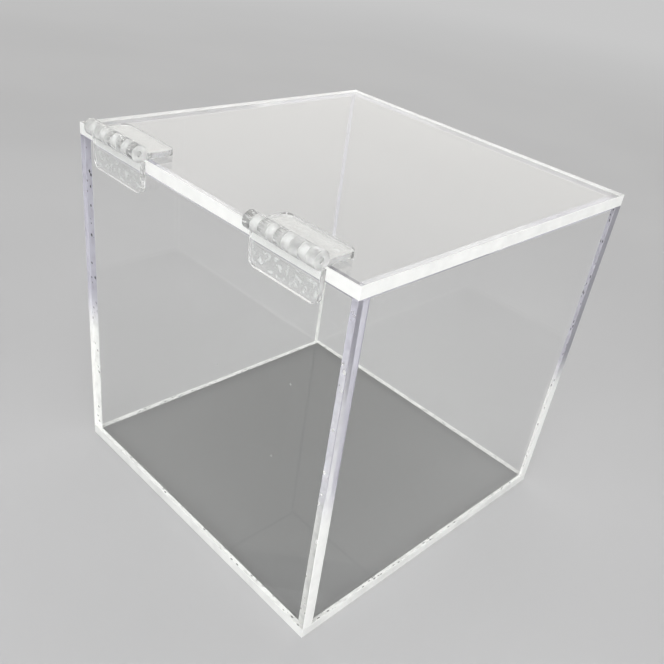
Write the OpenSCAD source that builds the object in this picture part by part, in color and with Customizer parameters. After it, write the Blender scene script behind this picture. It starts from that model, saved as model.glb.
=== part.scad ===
// Clear acrylic storage box with a full-size lid on two glued hinges.
// Origin at the middle of the underside of the base, +Z up.
// The hinges are on the rear (+Y); the lid opens at the front (-Y).

/* [Box] */
// Outside width, along the hinge line
box_w = 200; // [130:1:400]
// Outside depth, front to back
box_d = 200; // [100:1:400]
// Outside height with the lid shut, without the hinge barrels
box_h = 200; // [80:1:400]

/* [Sheets] */
// Thickness of the four wall sheets
wall_t = 6; // [3:0.5:10]
// Thickness of the base sheet
base_t = 6; // [3:0.5:12]
// Thickness of the lid sheet
lid_t = 6; // [3:0.5:8]
// Air gap between the walls and the shut lid
lid_gap = 0.2; // [0.1:0.05:0.5]
// Thickness of the cement film between two bonded sheets
cement_t = 0.1; // [0.05:0.05:0.3]

/* [Hinge leaves] */
// Length of each hinge along the hinge line
hinge_l = 42; // [30:1:58]
// Distance from each end of the box to its hinge
hinge_inset = 18; // [6:1:50]
// Width of one leaf, from the pin axis to its free edge
leaf_w = 20; // [17:0.5:32]
// Thickness of the leaf plates
leaf_t = 2.8; // [2:0.1:3]
// Radius of the outer corners of the leaves
leaf_corner_r = 4; // [1:0.5:6]
// Thickness of the glue film under each leaf
glue_t = 0.15; // [0.1:0.05:0.4]
// Distance from the edge of the leaf, or of the sheet, to the glue film
glue_margin = 1.2; // [0.5:0.1:2]

/* [Hinge barrels] */
// Number of knuckles on each hinge
knuckles = 9; // [5:2:11]
// Outside diameter of the knuckles
barrel_d = 8; // [7:0.1:8.4]
// Height of the pin axis above the glued back of a leaf
pin_rise = 3.2; // [3.2:0.1:4]
// Diameter of the hinge pin
pin_d = 2.5; // [1.5:0.1:4]
// Radial clearance between the pin and its bore
pin_fit = 0.05; // [0.02:0.01:0.1]
// Gap between neighbouring knuckles
knuckle_gap = 0.3; // [0.2:0.05:0.6]
// Clearance between a leaf plate and the knuckles of the other leaf
notch_gap = 0.35; // [0.3:0.05:0.6]
// Radius of the fillet where a knuckle meets its plate
fillet_r = 1.2; // [0.5:0.1:2]
// Depth of each pin end inside the barrel
pin_recess = 0.5; // [0.2:0.1:2]
// Chamfer on the pin ends
pin_chamfer = 0.3; // [0.1:0.1:0.6]

/* [Hidden] */
$fn = 64;

// The walls stand on the cement film that bonds them to the base
wall_z = base_t + cement_t;
lid_z = box_h - lid_t;
wall_h = lid_z - lid_gap - wall_z;

// The side walls fit between the front and the rear wall, with a film at each end
side_d = box_d - 2 * (wall_t + cement_t);

// The pin axis stands off alike from the top of the lid and from the rear wall
axis_out = glue_t + pin_rise;
axis_y = box_d / 2 + axis_out;
axis_z = box_h + axis_out;

barrel_r = barrel_d / 2;
pin_r = pin_d / 2;
pitch = hinge_l / knuckles;
plate_top = leaf_t - pin_rise;

clear_sheet = "lightcyan";
film = "whitesmoke";
moulded = "azure";
rod = "gainsboro";

// Rectangle from y = -w to y = 0 with two rounded corners on the side at y = -w
module tab_outline(l, w, r) {
    translate([0, r - w]) square([l, w - r]);
    translate([r, -w]) square([l - 2 * r, w]);
    for (x = [r, l - r]) translate([x, r - w]) circle(r);
}

// Turns a section drawn in the plane across the hinge into a bar along the hinge
module along_hinge(l) {
    rotate([90, 0, 90]) linear_extrude(l) children();
}

// Section of a knuckle: the ring, its web into the plate and the fillet above the plate.
// Here x is the distance along the leaf and y the height, both from the pin axis.
module knuckle_section() {
    fillet_y = plate_top + fillet_r;
    fillet_x = -sqrt(pow(barrel_r + fillet_r, 2) - pow(fillet_y, 2));
    touch = barrel_r / (barrel_r + fillet_r);
    circle(barrel_r);
    translate([fillet_x, -pin_rise]) square([-fillet_x, leaf_t]);
    difference() {
        polygon([[fillet_x, plate_top], [0, plate_top], touch * [fillet_x, fillet_y]]);
        translate([fillet_x, fillet_y]) circle(fillet_r);
    }
}

// One leaf with the pin axis on the X axis: the plate runs towards -Y, its glued back faces -Z.
// It has the knuckles first, first + 2, and so on, and notches for the others.
module leaf(first) {
    difference() {
        union() {
            translate([0, 0, -pin_rise]) linear_extrude(leaf_t)
                tab_outline(hinge_l, leaf_w, leaf_corner_r);
            for (i = [first : 2 : knuckles - 1])
                translate([i * pitch, 0, 0]) along_hinge(pitch) knuckle_section();
        }
        for (i = [1 - first : 2 : knuckles - 1])
            translate([i * pitch - knuckle_gap / 2, -barrel_r - notch_gap, -barrel_d])
                cube([pitch + knuckle_gap, 2 * barrel_d, 2 * barrel_d]);
        rotate([0, 90, 0]) translate([0, 0, -pitch])
            cylinder(r = pin_r + pin_fit, h = hinge_l + 2 * pitch);
    }
}

// Puts a piece made on the pin axis of one hinge in its place on the box
module at_left_hinge() {
    translate([hinge_inset - box_w / 2, axis_y, axis_z]) children();
}

module at_right_hinge() {
    mirror([1, 0, 0]) at_left_hinge() children();
}

// Swaps the leaf that lies on the lid for one that lies on the rear wall
module on_wall() {
    mirror([0, 1, -1]) children();
}

// Glue film on the back of a leaf; cover is how far from the axis its sheet begins
module glue_pad(cover) {
    near_edge = cover + glue_margin;
    far_edge = leaf_w - glue_margin;
    pad_r = leaf_corner_r - glue_margin / 2;
    translate([glue_margin, -near_edge, -axis_out]) linear_extrude(glue_t)
        tab_outline(hinge_l - 2 * glue_margin, far_edge - near_edge, pad_r);
}

module pin() {
    pin_l = hinge_l - 2 * pin_recess;
    translate([pin_recess, 0, 0]) rotate([0, 90, 0]) rotate_extrude()
        polygon([
            [0, 0], [pin_r - pin_chamfer, 0], [pin_r, pin_chamfer],
            [pin_r, pin_l - pin_chamfer], [pin_r - pin_chamfer, pin_l], [0, pin_l]
        ]);
}

// Clear sheet that the walls stand on
module base_panel() {
    color(clear_sheet)
        translate([-box_w / 2, -box_d / 2, 0]) cube([box_w, box_d, base_t]);
}

module front_panel() {
    color(clear_sheet)
        translate([-box_w / 2, -box_d / 2, wall_z]) cube([box_w, wall_t, wall_h]);
}

module rear_panel() {
    color(clear_sheet)
        translate([-box_w / 2, box_d / 2 - wall_t, wall_z]) cube([box_w, wall_t, wall_h]);
}

module left_panel() {
    color(clear_sheet)
        translate([-box_w / 2, -side_d / 2, wall_z]) cube([wall_t, side_d, wall_h]);
}

module right_panel() {
    color(clear_sheet)
        translate([box_w / 2 - wall_t, -side_d / 2, wall_z]) cube([wall_t, side_d, wall_h]);
}

module lid_panel() {
    color(clear_sheet)
        translate([-box_w / 2, -box_d / 2, lid_z]) cube([box_w, box_d, lid_t]);
}

// One closed film that bonds all four walls to the base
module base_cement() {
    color(film) translate([0, 0, base_t]) linear_extrude(cement_t) difference() {
        square([box_w, box_d], center = true);
        square([box_w - 2 * wall_t, box_d - 2 * wall_t], center = true);
    }
}

// Four upright films, at both ends of both side walls
module corner_cement() {
    color(film)
        for (x = [-box_w / 2, box_w / 2 - wall_t], y = [-side_d / 2 - cement_t, side_d / 2])
            translate([x, y, wall_z]) cube([wall_t, cement_t, wall_h]);
}

// Glue under the two wall leaves, all of it below the lid
module wall_glue_pads() {
    below_lid = axis_out + lid_t + lid_gap;
    color(film) {
        at_left_hinge() on_wall() glue_pad(below_lid);
        at_right_hinge() on_wall() glue_pad(below_lid);
    }
}

// Glue under the two lid leaves
module lid_glue_pads() {
    color(film) {
        at_left_hinge() glue_pad(axis_out);
        at_right_hinge() glue_pad(axis_out);
    }
}

module left_hinge_wall_leaf() {
    color(moulded) at_left_hinge() on_wall() leaf(1);
}

module left_hinge_lid_leaf() {
    color(moulded) at_left_hinge() leaf(0);
}

module left_hinge_pin() {
    color(rod) at_left_hinge() pin();
}

module right_hinge_wall_leaf() {
    color(moulded) at_right_hinge() on_wall() leaf(1);
}

module right_hinge_lid_leaf() {
    color(moulded) at_right_hinge() leaf(0);
}

module right_hinge_pin() {
    color(rod) at_right_hinge() pin();
}

base_panel();
front_panel();
rear_panel();
left_panel();
right_panel();
lid_panel();
base_cement();
corner_cement();
wall_glue_pads();
lid_glue_pads();
left_hinge_wall_leaf();
left_hinge_lid_leaf();
left_hinge_pin();
right_hinge_wall_leaf();
right_hinge_lid_leaf();
right_hinge_pin();
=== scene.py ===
import math

import bpy
from mathutils import Matrix, Vector


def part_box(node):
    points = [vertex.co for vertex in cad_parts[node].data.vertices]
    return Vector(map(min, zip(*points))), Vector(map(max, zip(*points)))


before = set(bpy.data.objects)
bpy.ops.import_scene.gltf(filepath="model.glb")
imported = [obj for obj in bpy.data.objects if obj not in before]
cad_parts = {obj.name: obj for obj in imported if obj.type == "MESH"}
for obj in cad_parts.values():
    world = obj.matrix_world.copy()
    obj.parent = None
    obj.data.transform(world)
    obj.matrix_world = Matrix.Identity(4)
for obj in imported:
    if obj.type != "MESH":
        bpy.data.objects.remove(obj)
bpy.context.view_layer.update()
MM = 0.001

# Corners of the pieces that the materials line up with
base_low, base_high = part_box("base_panel")
lid_low, lid_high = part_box("lid_panel")
side_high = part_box("left_panel")[1]
rear_low, rear_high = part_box("rear_panel")
pin_low, pin_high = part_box("left_hinge_pin")
leaf_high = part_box("left_hinge_lid_leaf")[1]

# Inner faces of the walls, the gap under the shut lid, and the cement films.
# A bonded face lies within FILM_REACH of the middle of its film.
SHEET = base_high.z - base_low.z
HALF_INSIDE = base_high.x - SHEET
LID_GAP_Z = (rear_high.z + lid_low.z) / 2
BASE_FILM_Z = (base_high.z + rear_low.z) / 2
CORNER_FILM_Y = (side_high.y + rear_low.y) / 2
FILM_SLACK = 0.01 * MM
FILM_REACH = (rear_low.z - base_high.z) / 2 + FILM_SLACK

# Hinge axis and the outside radius of the barrels round it
PIN_Y = (pin_low.y + pin_high.y) / 2
PIN_Z = (pin_low.z + pin_high.z) / 2
BARREL_RADIUS = leaf_high.z - PIN_Z

# Panels of the box with the axis across each sheet
PANELS = {
    "base_panel": 2,
    "front_panel": 1,
    "rear_panel": 1,
    "left_panel": 0,
    "right_panel": 0,
    "lid_panel": 2,
}
FLAT_PANELS = ("base_panel", "lid_panel")
CEMENT_FILMS = ("base_cement", "corner_cement")
GLUE_FILMS = ("wall_glue_pads", "lid_glue_pads")
HINGE_LEAVES = [
    f"{side}_hinge_{half}_leaf" for side in ("left", "right") for half in ("wall", "lid")
]
HINGE_PINS = ("left_hinge_pin", "right_hinge_pin")

# Material slots of a panel
FACE_SLOT = 0
EDGE_SLOT = 1

# Rounding of sharp corners, the reach within which split points are joined before it,
# and how far a film stays clear of the faces that it bonds
SHEET_ROUNDING = 0.25 * MM
LEAF_ROUNDING = 0.12 * MM
ROUNDING_STEPS = 2
SHARP_FROM = math.radians(35)
SEAM_REACH = 0.001 * MM
FILM_INSET = 0.02 * MM

ACRYLIC_IOR = 1.49
CEMENT_IOR = 1.47

# Heights between which the frosting of upright cut edges and corners goes from lilac to white
# On the cut edges this white is partly real frosting and partly painted glow of light gathered by the
# sheet
FROST_TOP = 105 * MM
FROST_FOOT = 75 * MM
FROST_LILAC = (0.74, 0.73, 0.82, 1)
FROST_WHITE = (0.965, 0.97, 0.95, 1)

# Waves per metre along X, Y and Z. Scratches and draw marks run along X, and the flow marks
# of the moulded leaves run across it.
SCRATCH_WAVES = (22.0, 1400.0, 700.0)
FLOW_WAVES = (180.0, 60.0, 60.0)
DRAW_MARK_WAVES = (40.0, 3000.0, 3000.0)

# Dust on the sheets and air bubbles in the cement. Each is full within its core and ends
# at its rim, in units of the spacing. Bubbles form only where the noise is over BUBBLY_FROM.
DUST_PER_METRE = 38.0
DUST_CORE = 0.012
DUST_RIM = 0.018
BUBBLES_PER_METRE = 260.0
BUBBLE_CORE = 0.18
BUBBLE_RIM = 0.3
BUBBLY_FROM = 0.45

# How white the moulded barrels and plates are, and the width over which one becomes the other
BARREL_FROST = 0.42
PLATE_FROST = 0.08
FROST_BLEND = 1.5 * MM


class Graph:
    """The node tree of one new material."""

    def __init__(self, name):
        self.material = bpy.data.materials.new(name)
        self.material.use_nodes = True
        self.tree = self.material.node_tree
        self.tree.nodes.clear()
        self.place = self.node("ShaderNodeTexCoord").outputs["Object"]

    def node(self, kind, inputs=None, **settings):
        """A new node of this kind, with its settings made and its inputs put in."""
        made = self.tree.nodes.new(kind)
        for name, value in settings.items():
            setattr(made, name, value)
        for name, value in (inputs or {}).items():
            self.put(made.inputs[name], value)
        return made

    def put(self, socket, value):
        """Links a socket to another one, or sets its plain value."""
        if isinstance(value, bpy.types.NodeSocket):
            self.tree.links.new(value, socket)
        else:
            socket.default_value = value

    def math(self, operation, *values):
        made = self.node("ShaderNodeMath", operation=operation)
        for socket, value in zip(made.inputs, values):
            self.put(socket, value)
        return made.outputs[0]

    def axes(self, vector):
        return self.node("ShaderNodeSeparateXYZ", {"Vector": vector}).outputs

    def near(self, value, middle, reach):
        """1 where value lies within reach of middle."""
        return self.math("COMPARE", value, middle, reach)

    def distance(self, across, along):
        """Straight distance from two distances at a right angle to each other."""
        squared = self.math("MULTIPLY", along, along)
        return self.math("SQRT", self.math("MULTIPLY_ADD", across, across, squared))

    def noise(self, waves, detail, vector=None):
        """Values round 0.5, with so many waves per unit of the vector."""
        made = self.node(
            "ShaderNodeTexNoise",
            {
                "Vector": self.place if vector is None else vector,
                "Scale": waves,
                "Detail": detail,
            },
        )
        return made.outputs["Fac"]

    def cells(self, per_metre):
        """Distance from the nearest of many scattered points, in units of their spacing."""
        made = self.node("ShaderNodeTexVoronoi", {"Vector": self.place, "Scale": per_metre})
        return made.outputs["Distance"]

    def ramp(self, value, start, end, low=0.0, high=1.0):
        """Runs from low to high as value goes from start to end."""
        made = self.node(
            "ShaderNodeMapRange",
            {"Value": value, "From Min": start, "From Max": end, "To Min": low, "To Max": high},
            interpolation_type="SMOOTHSTEP",
        )
        return made.outputs["Result"]

    def stretched(self, factors):
        """The place on the object with each axis scaled by its own factor."""
        made = self.node(
            "ShaderNodeVectorMath", {0: self.place, 1: factors}, operation="MULTIPLY"
        )
        return made.outputs[0]

    def bump(self, height, distance, strength):
        inputs = {"Height": height, "Distance": distance, "Strength": strength}
        return self.node("ShaderNodeBump", inputs).outputs["Normal"]

    def principled(self, **inputs):
        """Inputs are given by their names, with _ for each space."""
        named = {name.replace("_", " "): value for name, value in inputs.items()}
        return self.node("ShaderNodeBsdfPrincipled", named).outputs[0]

    def transparent(self, colour=(1, 1, 1, 1)):
        return self.node("ShaderNodeBsdfTransparent", {"Color": colour}).outputs[0]

    def blend(self, factor, first, second):
        """Colour that goes from first to second."""
        made = self.node("ShaderNodeMix", data_type="RGBA")
        for name, value in (("Factor_Float", factor), ("A_Color", first), ("B_Color", second)):
            self.put(next(i for i in made.inputs if i.identifier == name), value)
        return next(o for o in made.outputs if o.identifier == "Result_Color")

    def mix(self, factor, first, second):
        """Shader that goes from first to second."""
        made = self.node("ShaderNodeMixShader", {0: factor, 1: first, 2: second})
        return made.outputs[0]

    def lamps_pass(self, shader, tint):
        """Light from the lamps goes straight through, tinted, as it does through a clear sheet."""
        path = self.node("ShaderNodeLightPath")
        return self.mix(path.outputs["Is Shadow Ray"], shader, self.transparent(tint))

    def finish(self, shader):
        self.node("ShaderNodeOutputMaterial", {"Surface": shader})
        return self.material


def bonded(graph):
    """1 where a face of a box panel lies against a cement film, so that no air is behind it."""
    x, y, z = graph.axes(graph.place)
    far_x = graph.math("ABSOLUTE", x)
    far_y = graph.math("ABSOLUTE", y)
    over_wall = graph.math("GREATER_THAN", graph.math("MAXIMUM", far_x, far_y), HALF_INSIDE)
    over_side = graph.math("GREATER_THAN", far_x, HALF_INSIDE)
    on_base_film = graph.math("MULTIPLY", over_wall, graph.near(z, BASE_FILM_Z, FILM_REACH))
    in_corner = graph.math("MULTIPLY", over_side, graph.near(far_y, CORNER_FILM_Y, FILM_REACH))
    above_base = graph.math("GREATER_THAN", z, base_high.z)
    below_lid = graph.math("LESS_THAN", z, LID_GAP_Z)
    beside_walls = graph.math("MULTIPLY", above_base, below_lid)
    on_corner_film = graph.math("MULTIPLY", in_corner, beside_walls)
    return graph.math("MAXIMUM", on_base_film, on_corner_film)


def sheet_face_material(with_bonds):
    """Polished face of a cast sheet: clear, with faint wipe marks, hairline scratches
    and a few dust specks."""
    graph = Graph("sheet_face_bonded" if with_bonds else "sheet_face")
    wipes = graph.noise(waves=26, detail=4)
    wiped = graph.ramp(wipes, start=0.52, end=0.75, low=0.004, high=0.04)
    scratches = graph.noise(waves=1.0, detail=2, vector=graph.stretched(SCRATCH_WAVES))
    scratched = graph.ramp(scratches, start=0.7, end=0.76, low=0.0, high=0.1)
    clear = graph.principled(
        Base_Color=(0.997, 0.998, 0.997, 1),
        Roughness=graph.math("ADD", wiped, scratched),
        IOR=ACRYLIC_IOR,
        Transmission_Weight=1.0,
    )
    speck = graph.ramp(graph.cells(DUST_PER_METRE), DUST_RIM, DUST_CORE, low=0.0, high=0.8)
    dust = graph.principled(Base_Color=(0.9, 0.9, 0.88, 1), Roughness=0.8)
    shader = graph.mix(speck, graph.lamps_pass(clear, tint=(0.955, 0.96, 0.955, 1)), dust)
    if with_bonds:
        shader = graph.mix(bonded(graph), shader, graph.transparent())
    return graph.finish(shader)


def cut_edge_material(name, frost_and_painted_glow_top, frost_and_painted_glow_foot, top_colour):
    """Cut edge of a sheet: bright, slightly frosted, with fine upright striations.
    Its white is partly real frosting and partly painted glow, which stands in for the light
    that a clear sheet gathers and sheds at its cut edges. The white goes from the top
    amount and top_colour high up on the box to the foot amount and white near its foot."""
    graph = Graph(name)
    x, y, z = graph.axes(graph.place)
    around = graph.node("ShaderNodeCombineXYZ", {"X": graph.math("ADD", x, y)}).outputs[0]
    striations = graph.noise(waves=1600, detail=2, vector=around)
    cloud = graph.ramp(graph.noise(waves=60, detail=3), start=0.3, end=0.7, low=0.85, high=1.0)
    # How much white the edge takes by height: partly real frosting, partly painted edge glow
    frost_and_painted_glow_by_height = graph.ramp(z, FROST_TOP, FROST_FOOT, low=frost_and_painted_glow_top, high=frost_and_painted_glow_foot)
    frost = graph.math("MULTIPLY", frost_and_painted_glow_by_height, cloud)
    normal = graph.bump(striations, distance=0.02 * MM, strength=0.6)
    clear = graph.principled(
        Base_Color=(0.99, 0.992, 1.0, 1),
        Roughness=0.12,
        IOR=ACRYLIC_IOR,
        Transmission_Weight=1.0,
        Normal=normal,
    )
    colour = FROST_WHITE
    if top_colour != FROST_WHITE:
        colour = graph.blend(graph.ramp(z, FROST_TOP, FROST_FOOT), top_colour, FROST_WHITE)
    white = graph.principled(Base_Color=colour, Roughness=0.3, IOR=ACRYLIC_IOR, Normal=normal)
    shader = graph.mix(frost, graph.lamps_pass(clear, tint=(0.9, 0.91, 0.9, 1)), white)
    shader = graph.mix(bonded(graph), shader, graph.transparent())
    return graph.finish(shader)


def cement_material():
    """Solvent cement: a haze with small clear air bubbles, denser and whiter low down."""
    graph = Graph("cement_film")
    z = graph.axes(graph.place)["Z"]
    dots = graph.ramp(graph.cells(BUBBLES_PER_METRE), BUBBLE_RIM, BUBBLE_CORE)
    bubbly = graph.math("GREATER_THAN", graph.noise(waves=90, detail=1), BUBBLY_FROM)
    bubbles = graph.math("MULTIPLY", dots, bubbly)
    low_down = graph.ramp(z, FROST_TOP, FROST_FOOT, low=0.45, high=0.95)
    cloud = graph.ramp(graph.noise(waves=140, detail=2), start=0.2, end=0.6, low=0.7, high=1.0)
    haze = graph.math("MULTIPLY", low_down, cloud)
    cover = graph.math("MULTIPLY", haze, graph.math("SUBTRACT", 1.0, bubbles))
    colour = graph.blend(graph.ramp(z, FROST_TOP, FROST_FOOT), FROST_LILAC, FROST_WHITE)
    white = graph.principled(Base_Color=colour, Roughness=0.35, IOR=CEMENT_IOR)
    clear = graph.transparent(colour=(0.99, 0.99, 0.99, 1))
    return graph.finish(graph.mix(cover, clear, white))


def glue_material():
    """Clear glue squeezed flat under a hinge leaf, mottled with white."""
    graph = Graph("glue_film")
    blotches = graph.noise(waves=420, detail=4)
    normal = graph.bump(blotches, distance=0.3 * MM, strength=0.8)
    clear = graph.principled(
        Base_Color=(0.97, 0.975, 0.97, 1),
        Roughness=0.08,
        IOR=CEMENT_IOR,
        Transmission_Weight=1.0,
        Normal=normal,
    )
    white = graph.principled(
        Base_Color=(0.9, 0.91, 0.9, 1),
        Roughness=0.3,
        IOR=CEMENT_IOR,
        Normal=normal,
    )
    cover = graph.ramp(blotches, start=0.5, end=0.65, low=0.0, high=0.5)
    shader = graph.mix(cover, graph.lamps_pass(clear, tint=(0.95, 0.95, 0.95, 1)), white)
    return graph.finish(shader)


def hinge_material():
    """Clear moulded hinge plastic with a faint flow texture, whiter in the barrels."""
    graph = Graph("hinge_plastic")
    flow = graph.noise(waves=1.0, detail=3, vector=graph.stretched(FLOW_WAVES))
    normal = graph.bump(flow, distance=0.05 * MM, strength=0.5)
    roughness = graph.ramp(
        graph.noise(waves=300, detail=3), start=0.4, end=0.7, low=0.03, high=0.12
    )
    clear = graph.principled(
        Base_Color=(0.995, 0.997, 0.997, 1),
        Roughness=roughness,
        IOR=ACRYLIC_IOR,
        Transmission_Weight=1.0,
        Normal=normal,
    )
    white = graph.principled(
        Base_Color=(0.96, 0.965, 0.95, 1),
        Roughness=0.22,
        IOR=ACRYLIC_IOR,
        Normal=normal,
    )
    place = graph.axes(graph.place)
    across = graph.math("SUBTRACT", place["Y"], PIN_Y)
    up = graph.math("SUBTRACT", place["Z"], PIN_Z)
    off_axis = graph.distance(across, up)
    on_barrel = graph.ramp(
        off_axis,
        start=BARREL_RADIUS + FROST_BLEND,
        end=BARREL_RADIUS,
        low=PLATE_FROST,
        high=BARREL_FROST,
    )
    cloud = graph.ramp(graph.noise(waves=250, detail=3), start=0.3, end=0.7, low=0.7, high=1.0)
    frost = graph.math("MULTIPLY", on_barrel, cloud)
    shader = graph.mix(frost, graph.lamps_pass(clear, tint=(0.94, 0.95, 0.95, 1)), white)
    return graph.finish(shader)


def pin_material():
    """Drawn plastic rod, white and slightly translucent, with lengthwise draw marks."""
    graph = Graph("hinge_pin")
    marks = graph.noise(waves=1.0, detail=2, vector=graph.stretched(DRAW_MARK_WAVES))
    body = graph.principled(
        Base_Color=(0.93, 0.94, 0.93, 1),
        Roughness=0.25,
        IOR=ACRYLIC_IOR,
        Transmission_Weight=0.5,
        Normal=graph.bump(marks, distance=0.02 * MM, strength=0.6),
    )
    return graph.finish(body)


def soften(piece, rounding):
    """Closes the seams between the faces of a mesh and rounds its sharp corners."""
    weld = piece.modifiers.new("closed seams", "WELD")
    weld.merge_threshold = SEAM_REACH
    bevel = piece.modifiers.new("broken corners", "BEVEL")
    bevel.width = rounding
    bevel.segments = ROUNDING_STEPS
    bevel.limit_method = "ANGLE"
    bevel.angle_limit = SHARP_FROM
    bevel.use_clamp_overlap = True
    return bevel


def dress(piece, *materials):
    piece.data.materials.clear()
    for material in materials:
        piece.data.materials.append(material)


def dress_panels():
    """Sheets with polished faces and frosted cut edges, whose white is partly painted glow and is
    whitest on the base and lid.
    """
    bonded_face = sheet_face_material(with_bonds=True)
    lid_face = sheet_face_material(with_bonds=False)
    # Both cut edge materials carry painted edge glow in their white along with the real frosting
    flat_edge = cut_edge_material(
        "cut_edge_rim_frost_and_painted_glow", frost_and_painted_glow_top=0.92, frost_and_painted_glow_foot=0.95, top_colour=FROST_WHITE
    )
    wall_edge = cut_edge_material(
        "cut_edge_wall_frost_and_painted_glow", frost_and_painted_glow_top=0.4, frost_and_painted_glow_foot=0.95, top_colour=FROST_LILAC
    )
    for name, across in PANELS.items():
        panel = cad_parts[name]
        face = lid_face if name == "lid_panel" else bonded_face
        edge = flat_edge if name in FLAT_PANELS else wall_edge
        dress(panel, face, edge)
        for polygon in panel.data.polygons:
            is_face = abs(polygon.normal[across]) > 0.5
            polygon.material_index = FACE_SLOT if is_face else EDGE_SLOT
        bevel = soften(panel, SHEET_ROUNDING)
        bevel.material = EDGE_SLOT


def dress_films(names, material):
    """Films of cement or glue, thinned so that no face of theirs lies in the face of a sheet."""
    for name in names:
        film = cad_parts[name]
        dress(film, material)
        inset = film.modifiers.new("clear of the sheets", "DISPLACE")
        inset.mid_level = 0.0
        inset.strength = -FILM_INSET


def dress_hinges():
    plastic = hinge_material()
    for name in HINGE_LEAVES:
        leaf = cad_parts[name]
        dress(leaf, plastic)
        soften(leaf, LEAF_ROUNDING)
    rod = pin_material()
    for name in HINGE_PINS:
        dress(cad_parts[name], rod)


# Flat floor round the object. Between FADE_START and FADE_END from its middle the floor
# goes over into an even backdrop.
FLOOR_RADIUS = 40.0
FLOOR_SIDES = 96
FADE_START = 0.45
FADE_END = 2.2
FLOOR_GREY = (0.51, 0.51, 0.515, 1)
FLOOR_PALE = (0.54, 0.54, 0.545, 1)
WORLD_WHITE = (1, 1, 1, 1)
WORLD_STRENGTH = 0.58


def floor_material():
    """Matt floor with faint clouds and grain, which fades only for rays that look at it,
    so that its light on the object stays as it is."""
    graph = Graph("studio_floor")
    grain = graph.noise(waves=900, detail=3)
    tone = graph.ramp(graph.noise(waves=3, detail=2), start=0.3, end=0.7)
    surface = graph.principled(
        Base_Color=graph.blend(tone, FLOOR_GREY, FLOOR_PALE),
        Roughness=0.6,
        Normal=graph.bump(grain, distance=0.05 * MM, strength=0.3),
    )
    place = graph.axes(graph.place)
    from_middle = graph.distance(place["X"], place["Y"])
    faded = graph.ramp(from_middle, FADE_START, FADE_END)
    path = graph.node("ShaderNodeLightPath").outputs
    seen = graph.math("MAXIMUM", path["Is Camera Ray"], path["Is Glossy Ray"])
    seen = graph.math("MAXIMUM", seen, path["Is Transmission Ray"])
    backdrop = graph.node(
        "ShaderNodeEmission", {"Color": WORLD_WHITE, "Strength": WORLD_STRENGTH}
    ).outputs[0]
    return graph.finish(graph.mix(graph.math("MULTIPLY", faded, seen), surface, backdrop))


def make_floor():
    corners = []
    for side in range(FLOOR_SIDES):
        angle = math.tau * side / FLOOR_SIDES
        corners.append((FLOOR_RADIUS * math.cos(angle), FLOOR_RADIUS * math.sin(angle), 0.0))
    mesh = bpy.data.meshes.new("studio_floor")
    mesh.from_pydata(corners, [], [tuple(range(FLOOR_SIDES))])
    mesh.materials.append(floor_material())
    floor = bpy.data.objects.new("studio_floor", mesh)
    bpy.context.scene.collection.objects.link(floor)


def make_world():
    world = bpy.data.worlds.new("studio")
    world.use_nodes = True
    background = world.node_tree.nodes["Background"]
    background.inputs["Color"].default_value = WORLD_WHITE
    background.inputs["Strength"].default_value = WORLD_STRENGTH
    bpy.context.scene.world = world


LAMP_WHITE = (1, 1, 1)
LAMP_WARM = (1.0, 0.965, 0.89)


def make_lamp(
    name,
    azimuth,
    elevation,
    distance,
    width,
    height,
    radiance,
    colour=LAMP_WHITE,
    mirrored=True,
):
    """Soft box that faces the middle of the object. Angles are in degrees; azimuth 0 is on
    the +X side and 90 on the +Y side. One that isn't mirrored lights the object without
    showing as a bright patch in its gloss."""
    turn = math.radians(azimuth)
    rise = math.radians(elevation)
    away = Vector((math.cos(turn) * math.cos(rise), math.sin(turn) * math.cos(rise), math.sin(rise)))
    lamp = bpy.data.lights.new(name, "AREA")
    lamp.shape = "RECTANGLE"
    lamp.size = width
    lamp.size_y = height
    lamp.energy = radiance * math.pi * width * height
    lamp.color = colour
    holder = bpy.data.objects.new(name, lamp)
    holder.location = Vector((0, 0, lid_high.z / 2)) + away * distance
    holder.rotation_euler = away.to_track_quat("Z", "Y").to_euler()
    holder.visible_camera = False
    holder.visible_glossy = mirrored
    bpy.context.scene.collection.objects.link(holder)


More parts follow.
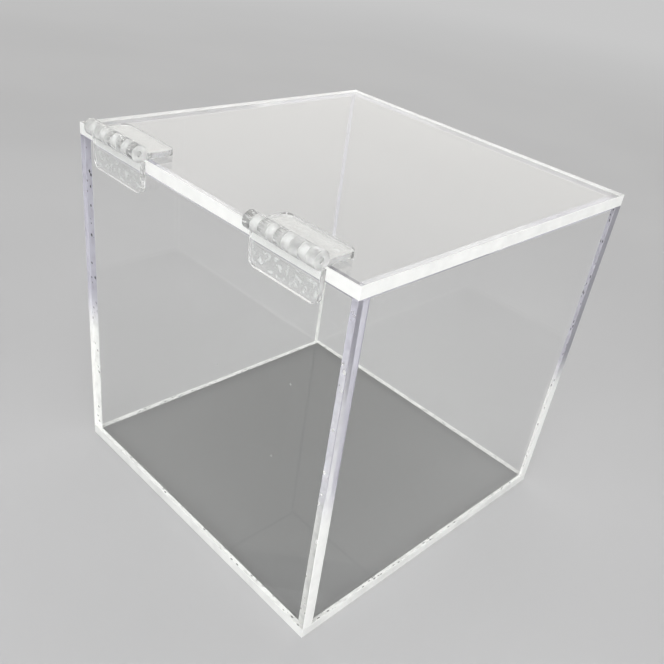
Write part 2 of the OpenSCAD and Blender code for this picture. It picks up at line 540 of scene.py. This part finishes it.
def make_lamps():
    make_lamp(
        "back_softbox",
        azimuth=-47,
        elevation=31,
        distance=1.6,
        width=2.2,
        height=0.95,
        radiance=0.48,
        colour=LAMP_WARM,
    )
    make_lamp(
        "key_softbox",
        azimuth=132,
        elevation=42,
        distance=1.5,
        width=1.1,
        height=1.1,
        radiance=2.8,
        mirrored=False,
    )
    make_lamp(
        "low_fill_softbox",
        azimuth=132,
        elevation=17,
        distance=1.5,
        width=1.7,
        height=0.7,
        radiance=2.0,
        mirrored=False,
    )
    make_lamp(
        "rear_fill_softbox",
        azimuth=-48,
        elevation=62,
        distance=1.5,
        width=1.0,
        height=0.6,
        radiance=0.8,
    )


# Camera off the corner of the rear and left walls, above the lid. Angles are in degrees,
# the turn from +X towards -Y; the lens and its sensor are in millimetres.
CAMERA_PLACE = Vector((-0.2590, 0.2910, 0.3272))
CAMERA_TURN = 48.83
CAMERA_TILT = -33.18
CAMERA_ROLL = 8.90
CAMERA_LENS = 41.78
CAMERA_SENSOR = 36.0
CAMERA_SHIFT = (0.0, 0.05)
NEAREST_SEEN = 10 * MM


def make_camera():
    turn = math.radians(CAMERA_TURN)
    tilt = math.radians(CAMERA_TILT)
    ahead = Vector((math.cos(tilt) * math.cos(turn), -math.cos(tilt) * math.sin(turn), math.sin(tilt)))
    lens = bpy.data.cameras.new("camera")
    lens.lens = CAMERA_LENS
    lens.sensor_width = CAMERA_SENSOR
    lens.shift_x, lens.shift_y = CAMERA_SHIFT
    lens.clip_start = NEAREST_SEEN
    camera = bpy.data.objects.new("camera", lens)
    level = ahead.to_track_quat("-Z", "Y").to_matrix()
    roll = Matrix.Rotation(math.radians(CAMERA_ROLL), 3, "Z")
    camera.matrix_world = Matrix.Translation(CAMERA_PLACE) @ (level @ roll).to_4x4()
    bpy.context.scene.collection.objects.link(camera)
    bpy.context.scene.camera = camera


# Faces that a ray of light may go through or be mirrored by before it ends
CLEAR_BOUNCES = 28
GLOSSY_BOUNCES = 16
STRAIGHT_THROUGH = 32


def set_up_render():
    scene = bpy.context.scene
    scene.view_settings.view_transform = "Standard"
    scene.cycles.max_bounces = CLEAR_BOUNCES
    scene.cycles.transmission_bounces = CLEAR_BOUNCES
    scene.cycles.glossy_bounces = GLOSSY_BOUNCES
    scene.cycles.transparent_max_bounces = STRAIGHT_THROUGH


dress_panels()
dress_films(CEMENT_FILMS, cement_material())
dress_films(GLUE_FILMS, glue_material())
dress_hinges()
make_floor()
make_world()
make_lamps()
make_camera()
set_up_render()
